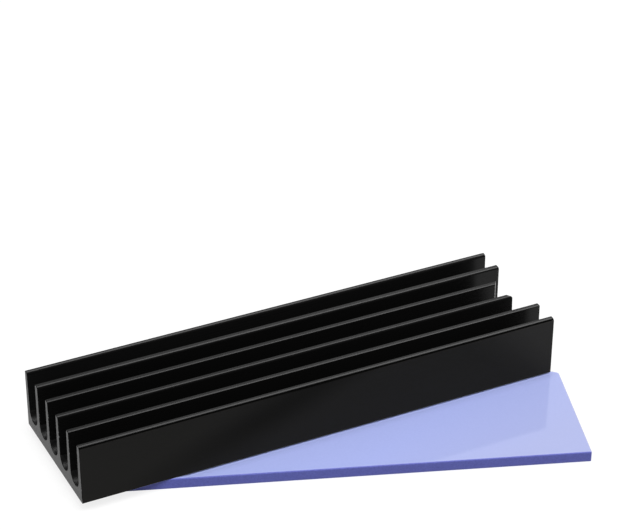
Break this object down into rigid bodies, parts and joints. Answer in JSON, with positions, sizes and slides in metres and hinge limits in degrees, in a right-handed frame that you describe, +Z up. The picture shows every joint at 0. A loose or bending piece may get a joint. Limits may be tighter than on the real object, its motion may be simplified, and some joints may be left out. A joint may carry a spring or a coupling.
{
  "type": "ssd heat sink",
  "caption": "Black finned aluminium heat sink with a half-round screw notch at one end, lying askew on its lilac silicone thermal pad, for cooling a solid state drive card.",
  "frame": {"origin": "below the middle of the heat sink, on the underside of the pad, which is the surface that the part rests on", "axes": "+X along the fins towards the screw notch, +Y across the fins to the back, +Z up from the pad to the fin tips"},
  "size_m": [0.0709, 0.0407, 0.0102],
  "materials": {
    "black_anodised": "black anodised, satin, with saw-cut ends",
    "lilac_silicone": "smooth soft silicone with a slight gloss"
  },
  "bodies": {
    "root": {"heat_sink": "black_anodised", "thermal_pad": "lilac_silicone"}
  },
  "joints": []
}
